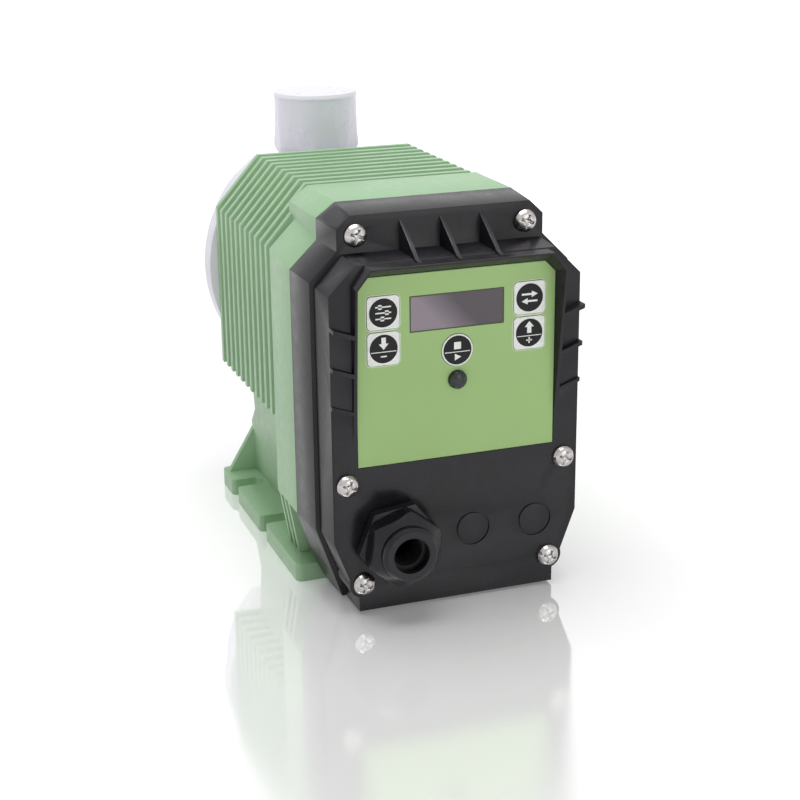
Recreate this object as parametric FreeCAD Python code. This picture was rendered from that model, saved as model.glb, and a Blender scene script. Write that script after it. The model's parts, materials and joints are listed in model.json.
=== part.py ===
import FreeCAD, Part
import math
import os

# Solenoid diaphragm metering pump. Millimetres, +Z up, control face towards -Y, liquid end
# towards +Y. The origin is on the ground, midway between the four slots of the foot.

os.makedirs("parts", exist_ok=True)
V = FreeCAD.Vector
X_AXIS = V(1, 0, 0)
Y_AXIS = V(0, 1, 0)
Z_AXIS = V(0, 0, 1)

# Foot
HALF_WIDTH = 58.7
FOOT_FRONT = -80.5
FOOT_REAR = 49.5
FOOT_THICK = 8.0
FOOT_CORNER = 3.0
SLOT_PITCH = 50.0
SLOT_WIDTH = 9.0
SLOT_INNER_X = 44.5
SLOT_MOUTH_RADIUS = 2.4

# Housing stations along Y
FACE_Y = -120.5
LIP_Y = FACE_Y + 17.3
JOINT_Y = FACE_Y + 37.0
BAND_END_Y = FACE_Y + 66.5
EAR_END_Y = FACE_Y + 75.0
FIN_FIRST_Y = FACE_Y + 72.8
FIN_PITCH = 8.5
FIN_COUNT = 11
FIN_TIP = 3.4
FIN_ROOT = 4.8
FIN_DEPTH = 4.5
REAR_Y = FIN_FIRST_Y + FIN_PITCH * (FIN_COUNT - 1) + FIN_ROOT / 2

# Housing section heights and half widths
TOP_Z = 166.3
EAR_TOP_HALF = 38.8
EAR_HALF = 47.0
EAR_SIDE_TOP_Z = 160.3
BAND_BOTTOM_Z = 33.5
FIN_TOP_HALF = 38.0
FIN_CORNER_Z = 142.5
FIN_BOTTOM_Z = 67.0
WALL = 4.0
REAR_WALL = 8.0

# Pedestal between the foot and the finned body
PEDESTAL_FRONT = FACE_Y + 53.0
PEDESTAL_REAR = FACE_Y + 163.5
PEDESTAL_BASE_HALF = 42.6
PEDESTAL_TOP_HALF = 46.5
PEDESTAL_WALL = 3.0
POCKET_COLUMNS = 4
POCKET_ROWS = 4
POCKET_WEB = 4.0
POCKET_DRAFT = 0.6
POCKET_ROOF = 3.0
POCKET_FRONT = -50.0
POCKET_REAR = 31.0
GUSSET_THICK = 3.4
GUSSET_TOP_Z = 31.0
FRONT_RIB_PITCH = 6.5
FRONT_RIB_THICK = 2.8
FRONT_RIB_FOOT_HALF = 53.3

# Cover
COVER_WALL = 2.8
COVER_BOTTOM_Z = 1.3
FACE_HALF = 54.0
FACE_TOP_Z = 148.4
LIP_STEP = 1.7
HOOD_HALF = 45.0
HOOD_DEPTH = 8.0
HOOD_TOP_Z = 148.0
HOOD_FADE_Z = 75.5
HOOD_RIM = 0.7
GUSSET_RIB_PITCH = 17.4
GUSSET_RIB_THICK = 1.8
SIDE_RIB_THICK = 1.8
SIDE_RIB_PITCH = 16.2
SIDE_RIB_TOP_Z = 124.7
SIDE_RIB_RISE = 3.4
COVER_SCREWS = [(36.8, LIP_Y, 156.3), (47.8, FACE_Y, 57.6), (41.5, FACE_Y, 13.5)]
SCREW_R = 2.5
SCREW_HOLE_R = 2.7
SCREW_HEAD_R = 4.7
SCREW_HEAD_H = 3.2
SCREW_BOSS_R = 5.0
SCREW_DEPTH = 13.0
CORNER_BOSS_R = 6.2
KNOCKOUT_X = (6.9, 35.0)
KNOCKOUT_R = 7.5
ENTRY_Z = 31.1
APRON_TOP_Z = 36.0
APRON_WALL = 3.0

# Keypad panel
LABEL_HALF = 42.9
LABEL_TOP_Z = 142.9
LABEL_BOTTOM_Z = 64.5
LABEL_CORNER = 4.6
LABEL_RECESS = 1.2
LABEL_THICK = 0.9
PANEL_BACK = 3.4
KEY_SIZE = 13.6
KEY_RADIUS = 1.8
KEY_X = 31.5
KEY_TOP_Z = 128.3
KEY_ROW_GAP = 1.2
KEY_Z = (KEY_TOP_Z, KEY_TOP_Z - KEY_SIZE - KEY_ROW_GAP)
RUN_KEY_Z = 109.6
RUN_KEY_R = 6.7
KEY_THICK = 0.8
KEY_GAP = 0.25
KEY_TRAVEL = 0.6
KEY_STEM_R = 2.0
WINDOW_HALF = 20.1
WINDOW_Z = 126.3
WINDOW_HEIGHT = 14.5
WINDOW_RADIUS = 1.5
LED_R = 3.9
LED_Z = 97.2

# Electronics
BOARD_Y = FACE_Y + 13.0
BOARD_THICK = 1.6
BOARD_HALF = 40.0
BOARD_BOTTOM_Z = 76.0
BOARD_TOP_Z = 140.0
BOARD_POST_R = 3.2
BOARD_SCREW_R = 1.5

# Cable gland
GLAND_X = -27.1
GLAND_THREAD_R = 12.4
GLAND_BORE_R = 9.0
GLAND_FLANGE = 5.0
GLAND_FLANGE_AF = 31.0
GLAND_NUT_AF = 29.0
GLAND_NUT_LENGTH = 10.0
GLAND_NOSE_R = 11.2
GLAND_NOSE_LENGTH = 3.4
GLAND_HOLE_R = 7.6
GLAND_SEAL_HOLE_R = 6.6
THREAD_GAP = 0.15

# Solenoid, on the pump axis
AXIS_Z = 112.0
STROKE = 1.6
YOKE_R = 36.2
YOKE_WALL = 4.0
YOKE_FRONT = -42.0
YOKE_PLATE = 6.0
YOKE_SCREW_INSET = 10.2
YOKE_SCREW_CIRCLE = YOKE_R - YOKE_SCREW_INSET
ARMATURE_R = 15.0
ARMATURE_CLEARANCE = 0.06
GUIDE_WALL = 1.14
GUIDE_BORE_R = ARMATURE_R + ARMATURE_CLEARANCE
GUIDE_R = GUIDE_BORE_R + GUIDE_WALL
BOBBIN_BORE_CLEARANCE = 0.1
BOBBIN_RIM_CLEARANCE = 0.5
BOBBIN_BORE_R = GUIDE_R + BOBBIN_BORE_CLEARANCE
BOBBIN_R = YOKE_R - YOKE_WALL - BOBBIN_RIM_CLEARANCE
BOBBIN_WALL = 1.5
CORE_LENGTH = 25.5
ROD_R = 4.0
BUSH_R = 5.6
RUNNING_GAP = 0.03
REST_PAD = 3.0
DAMPER = 1.2
SPRING_MEAN_R = 7.2
SPRING_WIRE_R = 0.8
SPRING_TURNS = 6

# Liquid end
BACK_PLATE_R = 62.5
BACK_PLATE_FLAT = 51.0
BACK_PLATE_THICK = 11.0
SPIGOT_R = 12.0
DIAPHRAGM_R = 36.0
DIAPHRAGM_RIM = 2.5
DIAPHRAGM_WALL = 1.4
CHAMBER_R = 28.0
HEAD_R = 54.0
HEAD_FLAT = 38.0
HEAD_THICK = 30.5
HEAD_SCREW_CIRCLE = 45.0
HEAD_SCREW_ANGLES = (0, 40, 140, 180, 220, 320)
HEAD_SCREW_R = 3.0
HEAD_SCREW_HEAD_R = 5.0
HEAD_SCREW_HEAD_H = 6.0
PORT_R = 3.0
PORT_OFFSET = 20.0
VALVE_BACK = 15.0
VALVE_POCKET = 12.0
VALVE_THREAD_R = 10.9
VALVE_HEX_AF = 30.0
VALVE_HEX = 6.0
NIPPLE_R = 16.4
NIPPLE_LENGTH = 26.0
BALL_R = 5.0
BALL_LIFT = 2.5
CAGE_R = 6.2
SEAT_R = 7.9
SEAT_BORE_R = 3.5
SEAT_LENGTH = 3.0
OUTLET_R = 4.0
CAP_R = 20.4
CAP_FLATS = 8
CAP_SKIRT = 3.0
CAP_TOP = 6.0
CAP_CLEARANCE = 1.3
LINER = 2.0
FREE_GAP = 0.3

# Stations that follow from the sizes above
PLATE_FRONT = REAR_Y
PLATE_REAR = REAR_Y + BACK_PLATE_THICK
HEAD_REAR = PLATE_REAR + HEAD_THICK
VALVE_Y = HEAD_REAR - VALVE_BACK
REAR_WALL_Y = REAR_Y - REAR_WALL
CORE_FRONT = REAR_WALL_Y - CORE_LENGTH
ARMATURE_REAR = CORE_FRONT - STROKE - DAMPER - 0.05
ARMATURE_FRONT = YOKE_FRONT + YOKE_PLATE + REST_PAD + 0.05
HUB_FRONT = PLATE_REAR - 6.1


def cylinder(radius, y0, y1, x=0.0, z=AXIS_Z):
    return Part.makeCylinder(radius, y1 - y0, V(x, y0, z), Y_AXIS)


def tube(outer, inner, y0, y1, x=0.0, z=AXIS_Z):
    return cylinder(outer, y0, y1, x, z).cut(cylinder(inner, y0 - 1, y1 + 1, x, z))


def block(x0, x1, y0, y1, z0, z1):
    return Part.makeBox(x1 - x0, y1 - y0, z1 - z0, V(x0, y0, z0))


def join(shapes):
    result = shapes[0].multiFuse(shapes[1:]) if len(shapes) > 1 else shapes[0]
    return result.removeSplitter()


def mirrored(half):
    # Full outline from its right half, listed from the top down.
    return half + [(-x, z) for x, z in reversed(half)]


def outline(half, y):
    points = [V(x, y, z) for x, z in mirrored(half)]
    return Part.makePolygon(points + [points[0]])


def inset(wire, distance):
    # The same outline moved inwards, with its corners kept sharp.
    return wire.makeOffset2D(-distance, join=2)


def loft(wires):
    return Part.makeLoft(wires, True, True)


def prism(wire, depth):
    return Part.Face(wire).extrude(V(0, depth, 0))


def revolve(points, origin, axis):
    # Solid of revolution. Points are (radius, station along the axis).
    side = Z_AXIS if abs(axis.dot(Z_AXIS)) < 0.5 else Y_AXIS
    places = [origin + side * r + axis * s for r, s in points]
    face = Part.Face(Part.makePolygon(places + [places[0]]))
    return face.revolve(origin, axis, 360)


def hexagon(across_flats, y0, y1, x, z, turn=0.0, sides=6):
    radius = across_flats / 2 / math.cos(math.pi / sides)
    points = []
    for k in range(sides):
        angle = math.radians(turn) + 2 * math.pi * k / sides
        points.append(V(x + radius * math.cos(angle), y0, z + radius * math.sin(angle)))
    return prism(Part.makePolygon(points + [points[0]]), y1 - y0)


def rounded_plate(width, height, radius, y0, y1, x, z):
    plate = block(x - width / 2, x + width / 2, y0, y1, z - height / 2, z + height / 2)
    return plate.makeFillet(radius, along(plate, Y_AXIS))


def along(shape, direction, keep=lambda middle: True):
    # Straight edges parallel to a direction whose middle passes a test.
    found = []
    for edge in shape.Edges:
        if len(edge.Vertexes) != 2 or not isinstance(edge.Curve, Part.Line):
            continue
        middle = (edge.Vertexes[0].Point + edge.Vertexes[1].Point) * 0.5
        if abs(edge.Curve.Direction.dot(direction)) > 0.99 and keep(middle):
            found.append(edge)
    return found


def export(name, shape):
    shape.exportStep("parts/" + name + ".step")


# Outlines of the body, right half, from the top down

def joint_half(bottom):
    return [(EAR_TOP_HALF, TOP_Z), (EAR_HALF, EAR_SIDE_TOP_Z), (EAR_HALF, EAR_SIDE_TOP_Z - 9.0),
            (HALF_WIDTH, FIN_CORNER_Z - 2.4), (HALF_WIDTH, bottom)]


def band_end_half():
    return [(EAR_TOP_HALF, TOP_Z), (EAR_HALF, EAR_SIDE_TOP_Z), (EAR_HALF, EAR_SIDE_TOP_Z - 6.0),
            (HALF_WIDTH, FIN_CORNER_Z), (HALF_WIDTH, BAND_BOTTOM_Z)]


def fin_half():
    return [(FIN_TOP_HALF, TOP_Z - 0.3), (HALF_WIDTH, FIN_CORNER_Z), (HALF_WIDTH, FIN_BOTTOM_Z)]


def cover_joint_half():
    return joint_half(BAND_BOTTOM_Z) + [(53.6, 16.0), (46.4, COVER_BOTTOM_Z)]


def cover_lip_half():
    return [(EAR_TOP_HALF, TOP_Z - 1.8), (EAR_HALF - 2.3, EAR_SIDE_TOP_Z - 1.4),
            (EAR_HALF - 2.3, EAR_SIDE_TOP_Z - 10.0), (HALF_WIDTH - 2.3, FIN_CORNER_Z - 3.9),
            (HALF_WIDTH - 2.3, BAND_BOTTOM_Z), (50.4, 15.4), (45.6, COVER_BOTTOM_Z)]


def face_half(spread):
    # Outline of the raised front layer; spread widens it towards the lip.
    return [(FACE_HALF - 11.5 + spread, FACE_TOP_Z + spread), (FACE_HALF + spread, 136.8),
            (FACE_HALF + spread, BAND_BOTTOM_Z - 0.4), (47.3 + spread, 15.2),
            (43.6 + spread / 2, 10.6), (43.6 + spread / 2, COVER_BOTTOM_Z)]


def label_half(grow=0.0):
    return [(LABEL_HALF - LABEL_CORNER + grow / 2, LABEL_TOP_Z + grow),
            (LABEL_HALF + grow, LABEL_TOP_Z - LABEL_CORNER + grow / 2),
            (LABEL_HALF + grow, LABEL_BOTTOM_Z - grow)]


def hood_half(shrink=0.0):
    return [(38.9 - shrink / 2, HOOD_TOP_Z - shrink), (HOOD_HALF - shrink, 140.3 - shrink / 2),
            (HOOD_HALF - shrink, HOOD_FADE_Z - 6.0)]


# Housing

def fin(y):
    core = inset(outline(fin_half(), 0), FIN_DEPTH)
    tip = outline(fin_half(), 0)
    sections = []
    for wire, offset in ((core, -FIN_ROOT / 2), (tip, -FIN_TIP / 2), (tip, FIN_TIP / 2), (core, FIN_ROOT / 2)):
        section = wire.copy()
        section.translate(V(0, y + offset, 0))
        sections.append(section)
    return loft(sections)


def foot():
    plate = block(-HALF_WIDTH, HALF_WIDTH, FOOT_FRONT, FOOT_REAR, 0, FOOT_THICK)
    plate = plate.makeFillet(FOOT_CORNER, along(plate, Z_AXIS))
    for side in (-1, 1):
        for row in (-0.5, 0.5):
            y = row * SLOT_PITCH
            centre_x = side * (SLOT_INNER_X + SLOT_WIDTH / 2)
            far_x = side * (HALF_WIDTH + 5)
            cutter = block(min(centre_x, far_x), max(centre_x, far_x), y - SLOT_WIDTH / 2,
                           y + SLOT_WIDTH / 2, -1, FOOT_THICK + 1)
            cutter = cutter.fuse(Part.makeCylinder(SLOT_WIDTH / 2, FOOT_THICK + 2, V(centre_x, y, -1)))
            plate = plate.cut(cutter.removeSplitter())
    mouths = along(plate, Z_AXIS, lambda m: abs(abs(m.x) - HALF_WIDTH) < 0.1 and abs(abs(m.y) - SLOT_PITCH / 2) < SLOT_WIDTH)
    plate = plate.makeFillet(SLOT_MOUTH_RADIUS, mouths)
    return plate


def pedestal():
    top_z = FIN_BOTTOM_Z + FIN_DEPTH + 1.0
    levels = []
    for half, z in ((PEDESTAL_BASE_HALF, 0.0), (PEDESTAL_TOP_HALF, top_z)):
        corners = [V(-half, PEDESTAL_FRONT, z), V(half, PEDESTAL_FRONT, z),
                   V(half, PEDESTAL_REAR, z), V(-half, PEDESTAL_REAR, z)]
        levels.append(Part.makePolygon(corners + [corners[0]]))
    body = Part.makeLoft(levels, True, True)
    slope_foot = GUSSET_TOP_Z + 1.0
    rear_top = PEDESTAL_REAR - 9.0
    waste = [V(-60, PEDESTAL_REAR + 1, slope_foot), V(-60, rear_top, slope_foot + 10.0),
             V(-60, rear_top, top_z + 1), V(-60, PEDESTAL_REAR + 1, top_z + 1)]
    body = body.cut(Part.Face(Part.makePolygon(waste + [waste[0]])).extrude(V(120, 0, 0)))
    return body


def gussets():
    plates = []
    rear = [(43.2, GUSSET_TOP_Z), (HALF_WIDTH - 1.4, FOOT_THICK - 0.5)]
    plates.append(prism(outline(rear, PEDESTAL_REAR - GUSSET_THICK / 2), GUSSET_THICK))
    front = [(HALF_WIDTH - 1.2, BAND_BOTTOM_Z + 1.0), (HALF_WIDTH - 1.2, BAND_BOTTOM_Z - 1.5),
             (FRONT_RIB_FOOT_HALF, FOOT_THICK - 0.5)]
    for k in range(3):
        y = PEDESTAL_FRONT + k * FRONT_RIB_PITCH
        plates.append(prism(outline(front, y), FRONT_RIB_THICK))
    return plates


def electronics_cavity():
    front = inset(outline(joint_half(BAND_BOTTOM_Z), JOINT_Y - 1), WALL)
    rear = inset(outline(band_end_half(), BAND_END_Y - WALL / 2), WALL)
    return loft([front, rear])


def coil_cavity():
    start = BAND_END_Y - WALL
    return prism(inset(outline(fin_half(), start), FIN_DEPTH + WALL), REAR_WALL_Y - start)


def pedestal_pockets():
    # Grid of cored pockets open at the ground, with a web over the middle of the foot.
    width = 2 * (PEDESTAL_BASE_HALF - PEDESTAL_WALL) / POCKET_COLUMNS
    length = (POCKET_REAR - POCKET_FRONT) / POCKET_ROWS
    pockets = []
    for column in range(POCKET_COLUMNS):
        for row in range(POCKET_ROWS):
            x = (column - (POCKET_COLUMNS - 1) / 2) * width
            y = POCKET_FRONT + (row + 0.5) * length
            levels = []
            for draft, z in ((0.0, 0.0), (POCKET_DRAFT, FIN_BOTTOM_Z - POCKET_ROOF)):
                dx = (width - POCKET_WEB) / 2 - draft
                dy = (length - POCKET_WEB) / 2 - draft
                corners = [V(x - dx, y - dy, z), V(x + dx, y - dy, z), V(x + dx, y + dy, z), V(x - dx, y + dy, z)]
                levels.append(Part.makePolygon(corners + [corners[0]]))
            pockets.append(Part.makeLoft(levels, True, True))
    return pockets


def housing_screw_bosses():
    bosses = []
    for x, _, z in COVER_SCREWS[:2]:
        for side in (-1, 1):
            bosses.append(cylinder(SCREW_BOSS_R, JOINT_Y, JOINT_Y + SCREW_DEPTH + 3, side * x, z))
    x, _, z = COVER_SCREWS[2]
    for side in (-1, 1):
        bosses.append(cylinder(SCREW_BOSS_R, JOINT_Y, PEDESTAL_FRONT + 1, side * x, z))
    return bosses


def gasket_ring(grow=0.0):
    outer = inset(outline(joint_half(BAND_BOTTOM_Z), JOINT_Y), 1.6 - grow)
    inner = inset(outline(joint_half(BAND_BOTTOM_Z), JOINT_Y), WALL + grow)
    ring = prism(outer, 1.0 + grow).cut(prism(inner, 1.0 + grow))
    return ring


def make_housing():
    band = loft([outline(joint_half(BAND_BOTTOM_Z), JOINT_Y), outline(band_end_half(), BAND_END_Y)])
    ear_half = [(EAR_TOP_HALF, TOP_Z), (EAR_HALF, EAR_SIDE_TOP_Z), (EAR_HALF, EAR_SIDE_TOP_Z - 12.0)]
    ear = prism(outline(ear_half, BAND_END_Y - 1), EAR_END_Y - BAND_END_Y + 1)
    core = prism(inset(outline(fin_half(), BAND_END_Y - 1), FIN_DEPTH), REAR_Y - BAND_END_Y + 1)
    fins = [fin(FIN_FIRST_Y + k * FIN_PITCH) for k in range(FIN_COUNT)]
    pieces = [band, ear, core, foot(), pedestal()] + gussets() + fins
    shell = join(pieces)
    shell = shell.cut(electronics_cavity())
    shell = shell.cut(coil_cavity())
    shell = shell.cut(Part.makeCompound(pedestal_pockets()))
    shell = join([shell] + housing_screw_bosses())
    for x, _, z in COVER_SCREWS:
        for side in (-1, 1):
            shell = shell.cut(cylinder(SCREW_R + 0.1, JOINT_Y - 1, JOINT_Y + SCREW_DEPTH + 1, side * x, z))
    shell = shell.cut(gasket_ring(0.02))
    shell = shell.cut(cylinder(SPIGOT_R + 0.1, REAR_WALL_Y - 1, REAR_Y + 1))
    for x, z in head_screw_places():
        shell = shell.cut(cylinder(HEAD_SCREW_R + 0.1, REAR_WALL_Y - 1, REAR_Y + 1, x, z))
    for x, z in yoke_screw_places():
        shell = shell.cut(cylinder(2.2, REAR_WALL_Y - 1, REAR_Y + 1, x, z))
        shell = shell.cut(cylinder(4.2, REAR_Y - 3.2, REAR_Y + 1, x, z))
    return shell


# Cover

def slanted_front():
    # Everything in front of the hood's sloping front plane.
    front = FACE_Y - HOOD_DEPTH
    points = [V(-70, FACE_Y, HOOD_FADE_Z), V(-70, front, HOOD_TOP_Z), V(-70, front, HOOD_TOP_Z + 20),
              V(-70, front - 20, HOOD_TOP_Z + 20), V(-70, front - 20, 0), V(-70, FACE_Y, 0)]
    return Part.Face(Part.makePolygon(points + [points[0]])).extrude(V(140, 0, 0))


def hood():
    front = FACE_Y - HOOD_DEPTH
    solid = prism(outline(hood_half(), front), HOOD_DEPTH + 0.5)
    hollow = loft([outline(hood_half(HOOD_RIM), front), outline(label_half(0.2), FACE_Y + 0.6)])
    below = prism(outline(hood_half(HOOD_RIM), front - 1), 1.0)
    return solid.cut(hollow).cut(below)


def side_ribs():
    ribs = []
    for side in (-1, 1):
        for k in range(3):
            z = SIDE_RIB_TOP_Z - k * SIDE_RIB_PITCH
            points = [V(side * (HOOD_HALF - 0.3), FACE_Y - HOOD_DEPTH, z - SIDE_RIB_RISE),
                      V(side * FACE_HALF, FACE_Y - HOOD_DEPTH, z),
                      V(side * FACE_HALF, FACE_Y - HOOD_DEPTH, z - SIDE_RIB_THICK),
                      V(side * (HOOD_HALF - 0.3), FACE_Y - HOOD_DEPTH, z - SIDE_RIB_RISE - SIDE_RIB_THICK)]
            ribs.append(Part.Face(Part.makePolygon(points + [points[0]])).extrude(V(0, HOOD_DEPTH + 2, 0)))
    return ribs


def gusset_ribs():
    ribs = []
    for k in (-1, 0, 1):
        x = k * GUSSET_RIB_PITCH - GUSSET_RIB_THICK / 2
        points = [V(x, LIP_Y + 1, 147.0), V(x, LIP_Y + 1, 161.8), V(x, LIP_Y, 161.2),
                  V(x, FACE_Y - 1.0, 148.9), V(x, FACE_Y - 6.4, HOOD_TOP_Z), V(x, FACE_Y - 6.4, 147.0)]
        ribs.append(Part.Face(Part.makePolygon(points + [points[0]])).extrude(V(GUSSET_RIB_THICK, 0, 0)))
    return ribs


def cover_cavity():
    inner_lip = LIP_Y + COVER_WALL
    upper = [(x, z) for x, z in cover_lip_half() if z > APRON_TOP_Z] + [(HALF_WIDTH - 2.3, APRON_TOP_Z)]
    rear = [(x, z) for x, z in joint_half(APRON_TOP_Z)]
    skirt = loft([inset(outline(upper, inner_lip), COVER_WALL), inset(outline(rear, JOINT_Y + 1), COVER_WALL)])
    front = prism(inset(outline(face_half(0.0), FACE_Y + PANEL_BACK), COVER_WALL),
                  JOINT_Y - APRON_WALL - FACE_Y - PANEL_BACK)
    return skirt, front


def key_places():
    places = []
    for name, side, z in (("set", -1, KEY_Z[0]), ("down", -1, KEY_Z[1]), ("mode", 1, KEY_Z[0]), ("up", 1, KEY_Z[1])):
        places.append((name, side * KEY_X, z))
    return places


def key_outline(x, z, grow, y0, y1):
    size = KEY_SIZE + 2 * grow
    return rounded_plate(size, size, KEY_RADIUS + grow, y0, y1, x, z)


def window_shape(grow, y0, y1):
    return rounded_plate(2 * WINDOW_HALF + 2 * grow, WINDOW_HEIGHT + 2 * grow, WINDOW_RADIUS + grow, y0, y1, 0, WINDOW_Z)


def board_posts():
    return [(side * (BOARD_HALF - 4.0), z) for side in (-1, 1) for z in (BOARD_BOTTOM_Z + 4.0, BOARD_TOP_Z - 3.0)]


def make_cover():
    skirt = loft([outline(cover_lip_half(), LIP_Y), outline(cover_joint_half(), JOINT_Y)])
    front = loft([outline(face_half(0.0), FACE_Y), outline(face_half(0.7), LIP_Y + 1)])
    x, _, z = COVER_SCREWS[2]
    bulges = [cylinder(CORNER_BOSS_R, FACE_Y, LIP_Y + 1, side * x, z) for side in (-1, 1)]
    solid = join([skirt, front] + bulges)
    raised = join([hood()] + side_ribs()).cut(slanted_front())
    solid = join([solid, raised] + gusset_ribs())
    for cavity in cover_cavity():
        solid = solid.cut(cavity)
    bosses = []
    for x, y, z in COVER_SCREWS:
        for side in (-1, 1):
            bosses.append(cylinder(SCREW_BOSS_R - 0.4, y + 1, JOINT_Y, side * x, z))
    for x, z in board_posts():
        bosses.append(cylinder(BOARD_POST_R, FACE_Y + PANEL_BACK - 0.5, BOARD_Y, x, z))
    solid = join([solid] + bosses)
    for x, y, z in COVER_SCREWS:
        for side in (-1, 1):
            solid = solid.cut(cylinder(SCREW_HOLE_R, y - 1, JOINT_Y + 1, side * x, z))
    for x, z in board_posts():
        solid = solid.cut(cylinder(BOARD_SCREW_R, BOARD_Y - 6, BOARD_Y + 1, x, z))
    solid = solid.cut(prism(outline(label_half(0.2), FACE_Y - 0.1), LABEL_RECESS + 0.1))
    for name, x, z in key_places():
        solid = solid.cut(key_outline(x, z, KEY_GAP, FACE_Y, FACE_Y + LABEL_RECESS + KEY_TRAVEL + 0.4))
        solid = solid.cut(cylinder(KEY_STEM_R + KEY_GAP, FACE_Y, FACE_Y + PANEL_BACK + 1, x, z))
    solid = solid.cut(cylinder(RUN_KEY_R + KEY_GAP, FACE_Y, FACE_Y + LABEL_RECESS + KEY_TRAVEL + 0.4, 0, RUN_KEY_Z))
    solid = solid.cut(cylinder(KEY_STEM_R + KEY_GAP, FACE_Y, FACE_Y + PANEL_BACK + 1, 0, RUN_KEY_Z))
    solid = solid.cut(window_shape(-1.0, FACE_Y, FACE_Y + PANEL_BACK + 1))
    solid = solid.cut(cylinder(LED_R + 0.1, FACE_Y, FACE_Y + PANEL_BACK + 1, 0, LED_Z))
    solid = solid.cut(cylinder(GLAND_THREAD_R + 0.2, FACE_Y - 1, FACE_Y + PANEL_BACK + 1, GLAND_X, ENTRY_Z))
    for x in KNOCKOUT_X:
        solid = solid.cut(tube(KNOCKOUT_R, KNOCKOUT_R - 0.7, FACE_Y, FACE_Y + 0.8, x, ENTRY_Z).fuse(
            tube(KNOCKOUT_R, KNOCKOUT_R - 0.7, FACE_Y - 0.5, FACE_Y + 0.1, x, ENTRY_Z)))
    return solid


def make_cover_screw(x, y, z):
    shank_end = JOINT_Y + SCREW_DEPTH
    profile = [(0, -SCREW_HEAD_H), (SCREW_HEAD_R * 0.45, -SCREW_HEAD_H), (SCREW_HEAD_R * 0.8, -SCREW_HEAD_H * 0.78),
               (SCREW_HEAD_R, -SCREW_HEAD_H * 0.3), (SCREW_HEAD_R, 0), (SCREW_R, 0), (SCREW_R, shank_end - y), (0, shank_end - y)]
    screw = revolve(profile, V(x, y, z), Y_AXIS)
    for turn in (0, 90):
        slot = block(-2.9, 2.9, -SCREW_HEAD_H - 1, -SCREW_HEAD_H + 1.7, -0.55, 0.55)
        slot.rotate(V(0, 0, 0), Y_AXIS, turn + 20)
        slot.translate(V(x, y, z))
        screw = screw.cut(slot)
    return screw


# Keypad

def make_overlay():
    plate = prism(outline(label_half(), FACE_Y + LABEL_RECESS - LABEL_THICK), LABEL_THICK)
    y0 = FACE_Y - 1
    y1 = FACE_Y + LABEL_RECESS + 1
    for name, x, z in key_places():
        plate = plate.cut(key_outline(x, z, KEY_GAP, y0, y1))
    plate = plate.cut(cylinder(RUN_KEY_R + KEY_GAP, y0, y1, 0, RUN_KEY_Z))
    plate = plate.cut(window_shape(0.05, y0, y1))
    plate = plate.cut(cylinder(LED_R + 0.1, y0, y1, 0, LED_Z))
    return plate


def key_stem(x, z):
    return cylinder(KEY_STEM_R, FACE_Y + KEY_THICK * 0.5, FACE_Y + 6.0, x, z)


def make_key(x, z):
    return join([key_outline(x, z, 0.0, FACE_Y, FACE_Y + KEY_THICK), key_stem(x, z)])


def make_run_key():
    return join([cylinder(RUN_KEY_R, FACE_Y, FACE_Y + KEY_THICK, 0, RUN_KEY_Z), key_stem(0, RUN_KEY_Z)])


def make_switches():
    switches = []
    for name, x, z in key_places() + [("run", 0, RUN_KEY_Z)]:
        body = block(x - 3, x + 3, BOARD_Y - 3.6, BOARD_Y, z - 3, z + 3)
        switches.append(body.fuse(cylinder(1.6, FACE_Y + 6.0 + KEY_TRAVEL + 0.1, BOARD_Y - 3.0, x, z)).removeSplitter())
    return Part.makeCompound(switches)


def make_led():
    bulb = cylinder(LED_R, FACE_Y - 0.6, FACE_Y + PANEL_BACK + 0.2, 0, LED_Z)
    dome = Part.makeSphere(LED_R, V(0, FACE_Y - 0.6, LED_Z)).cut(
        block(-5, 5, FACE_Y - 0.6, FACE_Y + 10, LED_Z - 5, LED_Z + 5))
    squash = FreeCAD.Matrix()
    squash.scale(1.0, 0.55, 1.0)
    dome.translate(V(0, -(FACE_Y - 0.6), 0))
    dome = dome.transformGeometry(squash)
    dome.translate(V(0, FACE_Y - 0.6, 0))
    collar = cylinder(LED_R + 0.9, FACE_Y + PANEL_BACK, FACE_Y + PANEL_BACK + 1.2, 0, LED_Z)
    legs = [cylinder(0.3, FACE_Y + PANEL_BACK + 1.0, BOARD_Y, side * 1.27, LED_Z) for side in (-1, 1)]
    return join([bulb, dome, collar] + legs)


def make_board():
    board = block(-BOARD_HALF, BOARD_HALF, BOARD_Y, BOARD_Y + BOARD_THICK, BOARD_BOTTOM_Z, BOARD_TOP_Z)
    board = board.makeFillet(2.0, along(board, Y_AXIS))
    for x, z in board_posts():
        board = board.cut(cylinder(BOARD_SCREW_R + 0.2, BOARD_Y - 1, BOARD_Y + 3, x, z))
    return board


def make_board_screw(x, z):
    back = BOARD_Y + BOARD_THICK
    head = cylinder(2.9, back, back + 2.2, x, z)
    return head.fuse(cylinder(BOARD_SCREW_R - 0.05, BOARD_Y - 5, back + 0.5, x, z)).removeSplitter()


def make_transformer():
    back = BOARD_Y + BOARD_THICK
    core = block(-18, 18, back + 2, back + 20, 84, 116)
    winding = rounded_plate(28, 22, 3, back + 0.2, back + 24, 0, 100)
    pins = [cylinder(0.6, back, back + 3, x, z) for x in (-12, 12) for z in (86, 114)]
    return join([core, winding] + pins)


def make_terminal_block():
    back = JOINT_Y - APRON_WALL
    body = block(-4, 32, back - 12, back, 9, 24)
    for k in range(4):
        x = 0.5 + k * 9
        body = body.cut(Part.makeCylinder(2.6, 8, V(x, back - 6, 17)))
        body = body.cut(cylinder(1.8, back - 13, back - 5, x, 13))
    return body


# Cable gland

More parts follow.
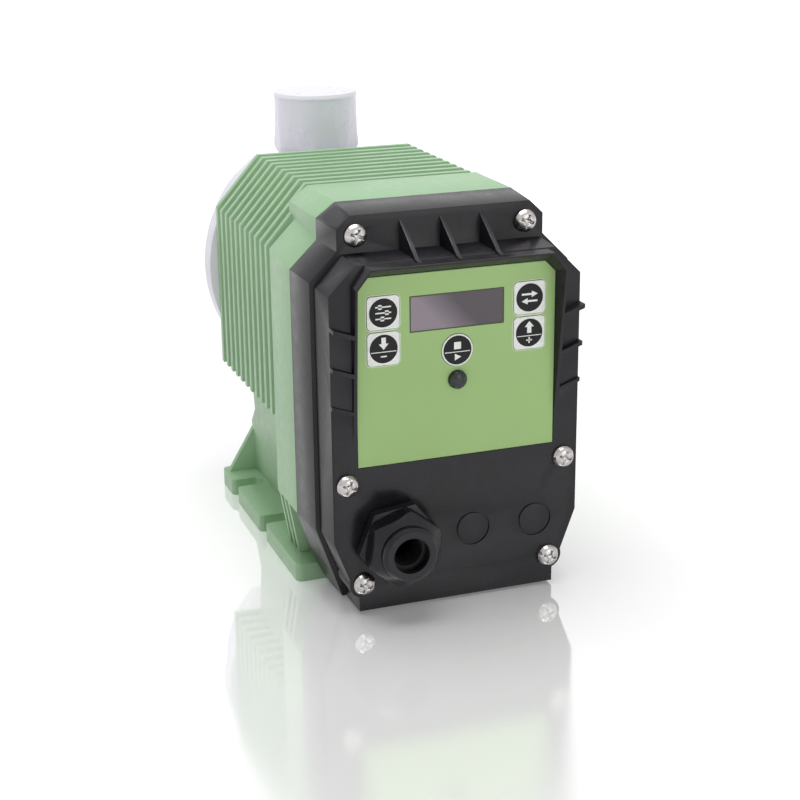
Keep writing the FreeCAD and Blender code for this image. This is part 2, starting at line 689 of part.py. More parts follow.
def make_gland_body():
    y0 = FACE_Y - GLAND_FLANGE
    flange = hexagon(GLAND_FLANGE_AF, y0, FACE_Y, GLAND_X, ENTRY_Z, 8)
    shank = cylinder(GLAND_THREAD_R, FACE_Y - 1, FACE_Y + 14, GLAND_X, ENTRY_Z)
    neck = cylinder(GLAND_THREAD_R - 0.6, y0 - GLAND_NUT_LENGTH + 2.5, y0 + 1, GLAND_X, ENTRY_Z)
    body = join([flange, shank, neck])
    return body.cut(cylinder(GLAND_BORE_R, y0 - 20, FACE_Y + 20, GLAND_X, ENTRY_Z))


def make_gland_nut():
    back = FACE_Y - GLAND_FLANGE - FREE_GAP
    front = back - GLAND_NUT_LENGTH
    nut = hexagon(GLAND_NUT_AF, front, back, GLAND_X, ENTRY_Z, 22)
    corner = GLAND_NUT_AF / 2 / math.cos(math.pi / 6)
    cone = revolve([(0, 0), (GLAND_NOSE_R + 1.0, 0), (corner + 0.2, 4.2), (corner + 0.2, GLAND_NUT_LENGTH), (0, GLAND_NUT_LENGTH)],
                   V(GLAND_X, front, ENTRY_Z), Y_AXIS)
    nut = nut.common(cone)
    nose = revolve([(0, -GLAND_NOSE_LENGTH), (GLAND_NOSE_R - 1.6, -GLAND_NOSE_LENGTH), (GLAND_NOSE_R - 0.3, -GLAND_NOSE_LENGTH + 1.2),
                    (GLAND_NOSE_R, 0.6), (0, 0.6)], V(GLAND_X, front, ENTRY_Z), Y_AXIS)
    nut = join([nut, nose])
    inner = GLAND_THREAD_R - 0.6 + THREAD_GAP
    bore = revolve([(0, -GLAND_NOSE_LENGTH - 1), (GLAND_HOLE_R, -GLAND_NOSE_LENGTH - 1), (GLAND_HOLE_R, -0.5), (inner, 2.0),
                    (inner, GLAND_NUT_LENGTH + 1), (0, GLAND_NUT_LENGTH + 1)], V(GLAND_X, front, ENTRY_Z), Y_AXIS)
    return nut.cut(bore)


def make_gland_seal():
    y0 = FACE_Y - GLAND_FLANGE - FREE_GAP - GLAND_NUT_LENGTH + 2.6
    return tube(GLAND_BORE_R - 0.05, GLAND_SEAL_HOLE_R, y0, y0 + 12, GLAND_X, ENTRY_Z)


def make_gland_locknut():
    y0 = FACE_Y + PANEL_BACK
    nut = hexagon(GLAND_FLANGE_AF, y0, y0 + 5, GLAND_X, ENTRY_Z, 15)
    return nut.cut(cylinder(GLAND_THREAD_R + 0.05, y0 - 1, y0 + 6, GLAND_X, ENTRY_Z))


# Solenoid

def yoke_screw_places():
    angles = [math.radians(45 + 90 * k) for k in range(4)]
    return [(YOKE_SCREW_CIRCLE * math.cos(a), AXIS_Z + YOKE_SCREW_CIRCLE * math.sin(a)) for a in angles]


def make_yoke_can():
    can = tube(YOKE_R, YOKE_R - YOKE_WALL, YOKE_FRONT, REAR_WALL_Y)
    plate = tube(YOKE_R - 1, 6.0, YOKE_FRONT, YOKE_FRONT + YOKE_PLATE)
    return join([can, plate])


def make_yoke_plate():
    plate = tube(YOKE_R - YOKE_WALL - 0.05, ARMATURE_R - 1.9, REAR_WALL_Y - YOKE_PLATE, REAR_WALL_Y)
    for x, z in yoke_screw_places():
        plate = plate.cut(cylinder(2.05, REAR_WALL_Y - YOKE_PLATE - 1, REAR_WALL_Y + 1, x, z))
    return plate


def make_yoke_screw(x, z):
    seat = REAR_Y - 3.2
    screw = join([cylinder(3.9, seat, seat + 2.8, x, z), cylinder(2.0, REAR_WALL_Y - YOKE_PLATE + 0.5, seat + 0.5, x, z)])
    socket = hexagon(3.0, seat + 1.2, seat + 4, x, z)
    return screw.cut(socket)


def make_bobbin():
    y0 = YOKE_FRONT + YOKE_PLATE + 0.1
    y1 = REAR_WALL_Y - YOKE_PLATE - 0.1
    spool = tube(BOBBIN_BORE_R + BOBBIN_WALL, BOBBIN_BORE_R, y0, y1)
    flanges = [tube(BOBBIN_R, BOBBIN_BORE_R, y, y + 2.0) for y in (y0, y1 - 2.0)]
    return join([spool] + flanges)


def make_winding():
    y0 = YOKE_FRONT + YOKE_PLATE + 2.15
    y1 = REAR_WALL_Y - YOKE_PLATE - 2.15
    return tube(BOBBIN_R - 1.5, BOBBIN_BORE_R + BOBBIN_WALL + 0.05, y0, y1)


def make_guide_tube():
    return tube(GUIDE_R, GUIDE_BORE_R, YOKE_FRONT + YOKE_PLATE, REAR_WALL_Y - YOKE_PLATE)


def make_pole_core():
    spring_r = SPRING_MEAN_R + SPRING_WIRE_R + 0.6
    nose = cylinder(ARMATURE_R, CORE_FRONT, REAR_WALL_Y - YOKE_PLATE)
    stem = cylinder(ARMATURE_R - 2.0, REAR_WALL_Y - YOKE_PLATE - 1, REAR_WALL_Y)
    core = join([nose, stem])
    core = core.cut(cylinder(BUSH_R, CORE_FRONT - 1, REAR_WALL_Y + 1))
    return core.cut(cylinder(spring_r, CORE_FRONT - 1, CORE_FRONT + 13))


def make_core_bush():
    return tube(BUSH_R, ROD_R + RUNNING_GAP, CORE_FRONT + 13, REAR_WALL_Y)


def make_damper():
    spring_r = SPRING_MEAN_R + SPRING_WIRE_R + 0.6
    return tube(ARMATURE_R - 0.6, spring_r + 0.6, CORE_FRONT - DAMPER, CORE_FRONT)


def make_armature():
    body = cylinder(ARMATURE_R, ARMATURE_FRONT, ARMATURE_REAR)
    body = body.cut(cylinder(ROD_R, ARMATURE_REAR - 16, ARMATURE_REAR + 1))
    for turn in (0, 180):
        vent = cylinder(1.5, ARMATURE_FRONT - 1, ARMATURE_REAR + 1, 11.5 * math.cos(math.radians(turn)), AXIS_Z)
        body = body.cut(vent)
    return body


def make_rest_pad():
    y0 = YOKE_FRONT + YOKE_PLATE
    return cylinder(12.0, y0, y0 + REST_PAD)


def make_push_rod():
    return cylinder(ROD_R, ARMATURE_REAR - 16, HUB_FRONT + 3.0)


def make_return_spring():
    start = ARMATURE_REAR + SPRING_WIRE_R
    length = CORE_FRONT + 13 - ARMATURE_REAR - 2 * SPRING_WIRE_R
    helix = Part.makeHelix(length / SPRING_TURNS, length, SPRING_MEAN_R)
    section = Part.Wire(Part.makeCircle(SPRING_WIRE_R, V(SPRING_MEAN_R, 0, 0), Y_AXIS))
    coil = Part.Wire(helix).makePipeShell([section], True, True)
    coil.rotate(V(0, 0, 0), X_AXIS, -90)
    coil.translate(V(0, start, AXIS_Z))
    return coil


# Liquid end

def flat_disc(radius, flat, y0, y1):
    band = block(-radius - 1, radius + 1, y0, y1, AXIS_Z - flat, AXIS_Z + flat)
    return cylinder(radius, y0, y1).common(band)


def head_screw_places():
    places = []
    for angle in HEAD_SCREW_ANGLES:
        a = math.radians(angle)
        places.append((HEAD_SCREW_CIRCLE * math.cos(a), AXIS_Z + HEAD_SCREW_CIRCLE * math.sin(a)))
    return places


def make_back_plate():
    plate = flat_disc(BACK_PLATE_R, BACK_PLATE_FLAT, PLATE_FRONT, PLATE_REAR)
    spigot = cylinder(SPIGOT_R, REAR_WALL_Y + 1.0, PLATE_FRONT + 1)
    plate = join([plate, spigot])
    plate = plate.cut(cylinder(DIAPHRAGM_R + 0.05, PLATE_REAR - DIAPHRAGM_RIM, PLATE_REAR + 1))
    plate = plate.cut(cylinder(CHAMBER_R + 2.0, HUB_FRONT - 0.8, PLATE_REAR))
    plate = plate.cut(cylinder(ROD_R + 0.5, REAR_WALL_Y - 1, PLATE_REAR))
    plate = plate.cut(cylinder(8.0, PLATE_FRONT - 4.0, PLATE_FRONT + 0.5))
    weep = Part.makeCylinder(2.0, BACK_PLATE_FLAT, V(0, HUB_FRONT + 1.2, AXIS_Z - BACK_PLATE_FLAT - 1))
    plate = plate.cut(weep)
    for x, z in head_screw_places():
        plate = plate.cut(cylinder(HEAD_SCREW_R + 0.2, PLATE_FRONT - 1, PLATE_REAR + 1, x, z))
    for side in (-1, 1):
        start = V(0, VALVE_Y, AXIS_Z + side * HEAD_FLAT)
        plate = plate.cut(Part.makeCylinder(CAP_R + CAP_CLEARANCE, BACK_PLATE_FLAT, start, Z_AXIS * side))
    return plate


def make_rod_seal():
    return tube(7.95, ROD_R + RUNNING_GAP, PLATE_FRONT - 3.9, PLATE_FRONT + 0.4)


def make_diaphragm():
    # Clamped rim, one rolled convolution and the ring that the hub grips.
    rim_y0 = PLATE_REAR - DIAPHRAGM_RIM
    ring_y0 = HUB_FRONT + 3.2
    ring_y1 = ring_y0 + DIAPHRAGM_WALL
    profile = [(8.3, ring_y0), (17.5, ring_y0), (21.0, ring_y0 - 1.7), (25.0, ring_y0 - 1.7), (28.6, rim_y0),
               (DIAPHRAGM_R, rim_y0), (DIAPHRAGM_R, PLATE_REAR), (29.0, PLATE_REAR), (25.6, ring_y1 - 1.7 + 0.4),
               (20.6, ring_y1 - 1.7 + 0.4), (17.8, ring_y1), (8.3, ring_y1)]
    return revolve(profile, V(0, 0, AXIS_Z), Y_AXIS)


def make_diaphragm_hub():
    front = cylinder(16.0, HUB_FRONT, HUB_FRONT + 2.9)
    waist = cylinder(8.0, HUB_FRONT, HUB_FRONT + 5.5)
    cap = revolve([(0, 0), (13.0, 0), (13.6, 0.8), (12.0, 2.0), (0, 2.6)], V(0, HUB_FRONT + 4.9, AXIS_Z), Y_AXIS)
    hub = join([front, waist, cap])
    return hub.cut(cylinder(ROD_R, HUB_FRONT - 1, HUB_FRONT + 3.0))


def make_pump_head():
    head = flat_disc(HEAD_R, HEAD_FLAT, PLATE_REAR, HEAD_REAR)
    rear_edges = [e for e in head.Edges if e.BoundBox.YLength < 0.01 and abs(e.BoundBox.YMin - HEAD_REAR) < 0.01]
    head = head.makeFillet(3.0, rear_edges)
    chamber = revolve([(0, -1), (CHAMBER_R, -1), (CHAMBER_R, 0.6), (14.5, 3.9), (0, 4.4)], V(0, PLATE_REAR, AXIS_Z), Y_AXIS)
    head = head.cut(chamber)
    for x, z in head_screw_places():
        head = head.cut(cylinder(HEAD_SCREW_R + 0.2, PLATE_REAR - 1, HEAD_REAR + 1, x, z))
        head = head.cut(cylinder(HEAD_SCREW_HEAD_R + 0.4, HEAD_REAR - HEAD_SCREW_HEAD_H - 0.5, HEAD_REAR + 1, x, z))
    for side in (-1, 1):
        z = AXIS_Z + side * PORT_OFFSET
        head = head.cut(cylinder(PORT_R, PLATE_REAR, VALVE_Y, 0, z))
        reach = HEAD_FLAT - VALVE_POCKET - PORT_OFFSET + PORT_R
        start = z - PORT_R if side > 0 else z + PORT_R
        head = head.cut(Part.makeCylinder(PORT_R, reach + 1, V(0, VALVE_Y, start), Z_AXIS * side))
        pocket = AXIS_Z + side * (HEAD_FLAT - VALVE_POCKET)
        head = head.cut(Part.makeCylinder(VALVE_THREAD_R + 0.05, VALVE_POCKET + 1, V(0, VALVE_Y, pocket), Z_AXIS * side))
    return head


def make_head_screw(x, z):
    seat = HEAD_REAR - HEAD_SCREW_HEAD_H - 0.5
    screw = join([cylinder(HEAD_SCREW_HEAD_R, seat, seat + HEAD_SCREW_HEAD_H, x, z),
                  cylinder(HEAD_SCREW_R, REAR_WALL_Y + 1.0, seat + 0.5, x, z)])
    return screw.cut(hexagon(5.0, seat + 2.5, seat + 8, x, z))


def valve_revolve(points, side):
    # Round valve piece on the valve axis; stations run outwards from the pocket's end.
    origin = V(0, VALVE_Y, AXIS_Z + side * (HEAD_FLAT - VALVE_POCKET))
    return revolve(points, origin, Z_AXIS * side)


def valve_hex(across_flats, s0, s1, side, sides=6):
    low = AXIS_Z + side * (HEAD_FLAT - VALVE_POCKET + s0)
    high = AXIS_Z + side * (HEAD_FLAT - VALVE_POCKET + s1)
    radius = across_flats / 2 / math.cos(math.pi / sides)
    turn = math.pi / sides
    points = [V(radius * math.cos(turn + 2 * math.pi * k / sides), VALVE_Y + radius * math.sin(turn + 2 * math.pi * k / sides), min(low, high))
              for k in range(sides)]
    return Part.Face(Part.makePolygon(points + [points[0]])).extrude(V(0, 0, abs(high - low)))


HEX_TOP = VALVE_POCKET + VALVE_HEX
NIPPLE_END = HEX_TOP + NIPPLE_LENGTH
SEAT_END_OUT = 0.2 + SEAT_LENGTH
SEAT_START_IN = VALVE_POCKET + 1.0
BALL_SEAT_HEIGHT = math.sqrt(BALL_R ** 2 - SEAT_BORE_R ** 2) + 0.06


def make_valve_body(side):
    outside = [(0, 0.2), (VALVE_THREAD_R, 0.2), (VALVE_THREAD_R, VALVE_POCKET + 1), (NIPPLE_R, VALVE_POCKET + 1),
               (NIPPLE_R, NIPPLE_END - 1), (NIPPLE_R - 1, NIPPLE_END), (0, NIPPLE_END)]
    body = valve_revolve(outside, side)
    body = join([body, valve_hex(VALVE_HEX_AF, VALVE_POCKET, HEX_TOP, side)])
    if side > 0:
        cage_end = SEAT_END_OUT + BALL_SEAT_HEIGHT + BALL_R + BALL_LIFT + 0.4
        bore = [(0, -1), (SEAT_R + 0.05, -1), (SEAT_R + 0.05, SEAT_END_OUT), (CAGE_R, SEAT_END_OUT), (CAGE_R, cage_end),
                (OUTLET_R, cage_end + 2.2), (OUTLET_R, NIPPLE_END + 1), (0, NIPPLE_END + 1)]
    else:
        bore = [(0, -1), (CAGE_R, -1), (CAGE_R, SEAT_START_IN), (SEAT_R + 0.05, SEAT_START_IN), (SEAT_R + 0.05, NIPPLE_END + 1), (0, NIPPLE_END + 1)]
    return body.cut(valve_revolve(bore, side))


def make_seat(side):
    start = 0.2 if side > 0 else SEAT_START_IN
    return valve_revolve([(SEAT_BORE_R, start), (SEAT_R, start), (SEAT_R, start + SEAT_LENGTH), (SEAT_BORE_R, start + SEAT_LENGTH)], side)


def make_inlet_sleeve():
    start = SEAT_START_IN + SEAT_LENGTH
    return valve_revolve([(OUTLET_R, start), (SEAT_R, start), (SEAT_R, NIPPLE_END), (OUTLET_R, NIPPLE_END)], -1)


def make_ball(side):
    if side > 0:
        z = AXIS_Z + HEAD_FLAT - VALVE_POCKET + SEAT_END_OUT + BALL_SEAT_HEIGHT
    else:
        z = AXIS_Z - (HEAD_FLAT - VALVE_POCKET) - SEAT_START_IN + BALL_SEAT_HEIGHT
    return Part.makeSphere(BALL_R, V(0, VALVE_Y, z))


def make_liner(side):
    return valve_revolve([(0, NIPPLE_END + 0.05), (NIPPLE_R - 1.2, NIPPLE_END + 0.05), (NIPPLE_R - 1.2, NIPPLE_END + LINER), (0, NIPPLE_END + LINER)], side)


def make_cap_nut(side):
    base = HEX_TOP + 3.0
    end = NIPPLE_END + LINER + 0.05 + CAP_TOP
    shape = valve_revolve([(0, base), (CAP_R - 3.2, base), (CAP_R - 0.4, base + CAP_SKIRT), (CAP_R + 0.5, base + CAP_SKIRT + 2.4),
                           (CAP_R, base + CAP_SKIRT + 8.0), (CAP_R - 0.4, end - 3.0), (CAP_R, end - 1.6), (CAP_R - 0.7, end), (0, end)], side)
    facets = valve_hex(2 * CAP_R - 0.9, base + CAP_SKIRT + 0.5, end - 2.6, side, CAP_FLATS)
    plain = valve_revolve([(0, base - 1), (CAP_R + 2, base - 1), (CAP_R + 2, base + CAP_SKIRT + 0.6), (0, base + CAP_SKIRT + 0.6)], side)
    rim = valve_revolve([(0, end - 2.7), (CAP_R + 2, end - 2.7), (CAP_R + 2, end + 1), (0, end + 1)], side)
    shape = shape.common(join([facets, plain, rim]))
    bore = valve_revolve([(0, base - 1), (NIPPLE_R + THREAD_GAP + 0.15, base - 1), (NIPPLE_R + THREAD_GAP + 0.15, NIPPLE_END + LINER + 0.05), (0, NIPPLE_END + LINER + 0.05)], side)
    return shape.cut(bore)


def build():
    export("housing", make_housing())
    export("front_cover", make_cover())
    export("cover_gasket", gasket_ring())
    export("cover_screws", Part.makeCompound([make_cover_screw(side * x, y, z) for x, y, z in COVER_SCREWS for side in (-1, 1)]))
    export("keypad_overlay", make_overlay())
    for name, x, z in key_places():
        export("key_" + name, make_key(x, z))
    export("key_run", make_run_key())
    export("display_window", window_shape(0.0, FACE_Y + LABEL_RECESS - LABEL_THICK, FACE_Y + LABEL_RECESS))
    export("display_module", rounded_plate(52, 24, 1.0, FACE_Y + PANEL_BACK, BOARD_Y, 0, WINDOW_Z))
    export("status_led", make_led())
    export("tact_switches", make_switches())
    export("control_board", make_board())
    export("board_screws", Part.makeCompound([make_board_screw(x, z) for x, z in board_posts()]))
    export("transformer", make_transformer())
    export("terminal_block", make_terminal_block())
    export("gland_body", make_gland_body())
    export("gland_nut", make_gland_nut())
    export("gland_seal", make_gland_seal())
    export("gland_locknut", make_gland_locknut())
    export("yoke_can", make_yoke_can())
    export("yoke_plate", make_yoke_plate())
    export("yoke_screws", Part.makeCompound([make_yoke_screw(x, z) for x, z in yoke_screw_places()]))
    export("coil_bobbin", make_bobbin())
    export("coil_winding", make_winding())
    export("guide_tube", make_guide_tube())
    export("pole_core", make_pole_core())
    export("core_bush", make_core_bush())
    export("stroke_damper", make_damper())
    export("armature", make_armature())
    export("rest_pad", make_rest_pad())
    export("push_rod", make_push_rod())
    export("return_spring", make_return_spring())
    export("back_plate", make_back_plate())
    export("rod_seal", make_rod_seal())
    export("diaphragm", make_diaphragm())
    export("diaphragm_hub", make_diaphragm_hub())
    export("pump_head", make_pump_head())
    export("head_screws", Part.makeCompound([make_head_screw(x, z) for x, z in head_screw_places()]))
    for name, side in (("discharge", 1), ("suction", -1)):
        export(name + "_valve_body", make_valve_body(side))
        export(name + "_valve_seat", make_seat(side))
        export(name + "_valve_ball", make_ball(side))
        export(name + "_cap_liner", make_liner(side))
        export(name + "_cap_nut", make_cap_nut(side))
    export("suction_inlet_sleeve", make_inlet_sleeve())


build()
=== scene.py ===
import json
import math

import bmesh
import bpy
from mathutils import Euler, Matrix, Vector


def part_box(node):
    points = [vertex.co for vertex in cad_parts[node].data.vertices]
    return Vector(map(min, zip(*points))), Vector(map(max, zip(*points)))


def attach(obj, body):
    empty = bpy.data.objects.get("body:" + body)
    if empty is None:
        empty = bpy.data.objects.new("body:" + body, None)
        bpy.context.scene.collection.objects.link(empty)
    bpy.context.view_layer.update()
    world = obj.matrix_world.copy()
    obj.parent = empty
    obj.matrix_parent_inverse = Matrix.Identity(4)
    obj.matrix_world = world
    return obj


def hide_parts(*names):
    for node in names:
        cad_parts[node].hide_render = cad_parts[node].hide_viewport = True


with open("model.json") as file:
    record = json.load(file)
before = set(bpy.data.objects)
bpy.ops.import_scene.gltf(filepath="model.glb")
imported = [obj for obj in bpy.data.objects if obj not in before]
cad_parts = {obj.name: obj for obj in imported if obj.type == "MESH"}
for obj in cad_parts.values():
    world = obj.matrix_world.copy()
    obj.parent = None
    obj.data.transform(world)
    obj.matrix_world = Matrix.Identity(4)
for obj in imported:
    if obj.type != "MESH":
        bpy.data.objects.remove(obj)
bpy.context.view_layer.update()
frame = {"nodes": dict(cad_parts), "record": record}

bl_info = {
    "name": "Diaphragm metering pump",
    "version": (1, 0, 0),
    "blender": (4, 5, 0),
    "location": "View3D > Sidebar > Pump",
    "description": "Finishes and fine pieces of a solenoid diaphragm metering pump on its CAD frame",
    "category": "Object",
}

MM = 0.001
NODES = frame["nodes"]
BODIES = frame["record"]["behaviour"]["bodies"]
BODY_OF = {node: body for body, members in BODIES.items() for node in members}
SLOT_OF = {entry["node"]: entry["material_slot"] for entry in frame["record"]["subparts"]}
ROOT = BODY_OF["housing"]
CAP_NUTS = ("discharge_cap_nut", "suction_cap_nut")
SHARP_ANGLE = 28.0
CAP_FACET_ANGLE = 9.0
NOSE_DEPTH = 3.2 * MM
NOSE_INNER_RADIUS = 9.0 * MM
NOSE_GROWTH = 1.08


def middle(node):
    low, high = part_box(node)
    return (Vector(low) + Vector(high)) / 2


def front_of(node):
    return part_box(node)[0][1]


class Shade:
    """A node material built round one principled shader."""

    def __init__(self, name):
        self.material = bpy.data.materials.new(name)
        self.material.use_nodes = True
        self.nodes = self.material.node_tree.nodes
        self.links = self.material.node_tree.links
        self.shader = self.nodes["Principled BSDF"]
        self.place = self.nodes.new("ShaderNodeTexCoord").outputs["Object"]

    def set(self, **values):
        for key, value in values.items():
            self.shader.inputs[key.replace("_", " ")].default_value = value

    def stretched(self, scale, turn=(0, 0, 0)):
        mapping = self.nodes.new("ShaderNodeMapping")
        mapping.inputs["Scale"].default_value = scale
        mapping.inputs["Rotation"].default_value = turn
        self.links.new(self.place, mapping.inputs["Vector"])
        return mapping.outputs["Vector"]

    def noise(self, scale, detail=3.0, rough=0.5, place=None, warp=0.0):
        node = self.nodes.new("ShaderNodeTexNoise")
        node.inputs["Scale"].default_value = scale
        node.inputs["Detail"].default_value = detail
        node.inputs["Roughness"].default_value = rough
        node.inputs["Distortion"].default_value = warp
        self.links.new(place or self.place, node.inputs["Vector"])
        return node.outputs["Fac"]

    def cells(self, scale, place=None):
        node = self.nodes.new("ShaderNodeTexVoronoi")
        node.inputs["Scale"].default_value = scale
        self.links.new(place or self.place, node.inputs["Vector"])
        return node.outputs["Distance"]

    def axis(self, index):
        node = self.nodes.new("ShaderNodeSeparateXYZ")
        self.links.new(self.place, node.inputs[0])
        return node.outputs[index]

    def spread(self, source, low, high, to_low=0.0, to_high=1.0):
        node = self.nodes.new("ShaderNodeMapRange")
        node.inputs["From Min"].default_value = low
        node.inputs["From Max"].default_value = high
        node.inputs["To Min"].default_value = to_low
        node.inputs["To Max"].default_value = to_high
        self.links.new(source, node.inputs["Value"])
        return node.outputs["Result"]

    def blend(self, factor, first, second, mode="MIX"):
        node = self.nodes.new("ShaderNodeMix")
        node.data_type = "RGBA"
        node.blend_type = mode
        self.links.new(factor, node.inputs["Factor"])
        for socket, value in ((6, first), (7, second)):
            if hasattr(value, "is_linked"):
                self.links.new(value, node.inputs[socket])
            else:
                node.inputs[socket].default_value = (*value[:3], 1.0)
        return node.outputs[2]

    def math(self, operation, first, second):
        node = self.nodes.new("ShaderNodeMath")
        node.operation = operation
        for index, value in enumerate((first, second)):
            if hasattr(value, "is_linked"):
                self.links.new(value, node.inputs[index])
            else:
                node.inputs[index].default_value = value
        return node.outputs[0]

    def colour(self, source):
        self.links.new(source, self.shader.inputs["Base Color"])

    def roughness(self, source):
        self.links.new(source, self.shader.inputs["Roughness"])

    def bump(self, source, distance, strength=1.0, under=None):
        node = self.nodes.new("ShaderNodeBump")
        node.inputs["Distance"].default_value = distance
        node.inputs["Strength"].default_value = strength
        self.links.new(source, node.inputs["Height"])
        if under is not None:
            self.links.new(under, node.inputs["Normal"])
        self.links.new(node.outputs["Normal"], self.shader.inputs["Normal"])
        return node.outputs["Normal"]


def tint(colour, factor):
    return tuple(min(1.0, c * factor) for c in colour[:3])


def linear(red, green, blue):
    """Scene colour of a screen colour given from 0 to 255."""
    values = []
    for c in (red / 255, green / 255, blue / 255):
        values.append(c / 12.92 if c <= 0.04045 else ((c + 0.055) / 1.055) ** 2.4)
    return tuple(values)


def cast_paint(name, colour):
    shade = Shade(name)
    broad = shade.noise(16, 4, 0.6)
    base = shade.blend(shade.spread(broad, 0.3, 0.7), tint(colour, 0.95), tint(colour, 1.05))
    dust = shade.spread(shade.noise(85, 8, 0.72, warp=0.4), 0.56, 0.78, 0.0, 0.35)
    base = shade.blend(dust, base, tint(colour, 1.22))
    speck = shade.spread(shade.noise(1500, 2, 0.5), 0.68, 0.74, 0.0, 0.5)
    shade.colour(shade.blend(speck, base, tint(colour, 0.8)))
    shade.roughness(shade.spread(shade.noise(240, 3), 0.3, 0.7, 0.34, 0.48))
    grain = shade.bump(shade.noise(620, 4, 0.55), 0.00012, 0.55)
    shade.bump(shade.noise(90, 2, 0.5), 0.0003, 0.25, under=grain)
    return shade.material


def moulded_black(name, colour, low=0.26, high=0.38):
    shade = Shade(name)
    smudge = shade.spread(shade.noise(42, 6, 0.65, warp=0.5), 0.42, 0.72)
    base = shade.blend(smudge, tint(colour, 0.85), tint(colour, 1.3))
    speck = shade.spread(shade.noise(1900, 2, 0.6), 0.64, 0.74, 0.0, 0.45)
    base = shade.blend(speck, base, tint(colour, 2.6))
    slanted = shade.stretched((1, 0.15, 0.35), (0, 0.5, 0.2))
    scuff = shade.spread(shade.noise(300, 5, 0.7, place=slanted), 0.7, 0.8, 0.0, 0.4)
    shade.colour(shade.blend(scuff, base, tint(colour, 3.4)))
    shade.roughness(shade.spread(shade.noise(160, 5, 0.6), 0.3, 0.7, low, high))
    grain = shade.bump(shade.cells(1500), 0.00008, 0.35)
    shade.bump(shade.noise(900, 3, 0.6), 0.0001, 0.3, under=grain)
    shade.set(Specular_IOR_Level=0.2, Coat_Weight=0.2, Coat_Roughness=0.16)
    return shade.material


def moulded_white(name, colour, gloss=0.3):
    shade = Shade(name)
    base = shade.blend(shade.spread(shade.noise(30, 4), 0.3, 0.7), tint(colour, 0.98), tint(colour, 1.02))
    mark = shade.spread(shade.noise(700, 4, 0.6), 0.62, 0.78, 0.0, 0.1)
    shade.colour(shade.blend(mark, base, tint(colour, 0.93)))
    shade.roughness(shade.spread(shade.noise(130, 4), 0.3, 0.7, gloss, gloss + 0.12))
    shade.bump(shade.noise(480, 3), 0.00008, 0.35)
    shade.set(Subsurface_Weight=0.06, Subsurface_Scale=0.002)
    return shade.material


def printed_film(name, colour):
    shade = Shade(name)
    base = shade.blend(shade.spread(shade.noise(22, 3), 0.3, 0.7), tint(colour, 0.97), tint(colour, 1.03))
    thread = shade.spread(shade.noise(2600, 2, 0.6), 0.6, 0.78, 0.0, 0.3)
    shade.colour(shade.blend(thread, base, tint(colour, 1.18)))
    shade.roughness(shade.spread(shade.noise(70, 4), 0.3, 0.7, 0.4, 0.52))
    shade.bump(shade.cells(2300), 0.00004, 0.5)
    return shade.material


def ink(name, colour, rough=0.42):
    shade = Shade(name)
    base = shade.blend(shade.spread(shade.noise(900, 4), 0.35, 0.7), tint(colour, 0.92), tint(colour, 1.06))
    shade.colour(base)
    shade.roughness(shade.spread(shade.noise(400, 3), 0.3, 0.7, rough, rough + 0.12))
    shade.bump(shade.noise(2200, 2), 0.00002, 0.4)
    shade.set(Specular_IOR_Level=0.25)
    return shade.material


def bright_metal(name, colour, low, high, grain=(1, 1, 1)):
    shade = Shade(name)
    streak = shade.noise(700, 4, 0.6, place=shade.stretched(grain))
    shade.colour(shade.blend(shade.spread(streak, 0.3, 0.7), tint(colour, 0.82), tint(colour, 1.06)))
    shade.roughness(shade.spread(streak, 0.25, 0.75, low, high))
    shade.bump(streak, 0.00005, 0.4)
    shade.set(Metallic=1.0)
    return shade.material


def rubber(name, colour):
    shade = Shade(name)
    shade.colour(shade.blend(shade.spread(shade.noise(180, 5), 0.3, 0.75), tint(colour, 0.85), tint(colour, 1.6)))
    shade.roughness(shade.spread(shade.noise(260, 3), 0.3, 0.7, 0.6, 0.78))
    shade.bump(shade.noise(1100, 4), 0.00008, 0.5)
    return shade.material


def display_with_painted_reflection(name, colour):
    shade = Shade(name)
    # Painted reflection on the glass: a diagonal sweep from light on the left to dark on the right, drawn into the
    # display's colour.
    lean = shade.math("MULTIPLY", shade.math("SUBTRACT", shade.axis(2), middle("display_window").z), 0.9)
    across = shade.math("ADD", shade.axis(0), lean)
    reflection_fall = shade.spread(across, -12.0 * MM, 5.0 * MM)
    reflection_rise = shade.spread(across, 5.0 * MM, 17.0 * MM, 1.0, 0.93)
    tone = shade.math("MULTIPLY", reflection_fall, reflection_rise)
    # Slanted streaks darken that painted reflection further in places.
    streak = shade.noise(1.0, 2, 0.4, place=shade.stretched((28, 4, 60), (0, 0.42, 0)))
    tone = shade.math("ADD", tone, shade.spread(streak, 0.35, 0.7, 0.0, 0.15))
    base = shade.blend(tone, tint(colour, 1.15), tint(colour, 0.22))
    shade.colour(shade.blend(shade.spread(shade.cells(2400), 0.1, 0.6, 0.0, 0.12), base, tint(colour, 0.5)))
    shade.roughness(shade.spread(shade.noise(90, 3), 0.3, 0.7, 0.1, 0.2))
    return shade.material


def wound_wire(name, colour):
    shade = Shade(name)
    wave = shade.nodes.new("ShaderNodeTexWave")
    wave.bands_direction = "Y"
    wave.inputs["Scale"].default_value = 180
    wave.inputs["Distortion"].default_value = 0.4
    shade.links.new(shade.place, wave.inputs["Vector"])
    shade.colour(shade.blend(wave.outputs["Fac"], tint(colour, 0.45), tint(colour, 1.1)))
    shade.roughness(shade.spread(shade.noise(500, 3), 0.3, 0.7, 0.25, 0.4))
    shade.bump(wave.outputs["Fac"], 0.0002, 0.8)
    shade.set(Metallic=0.8)
    return shade.material


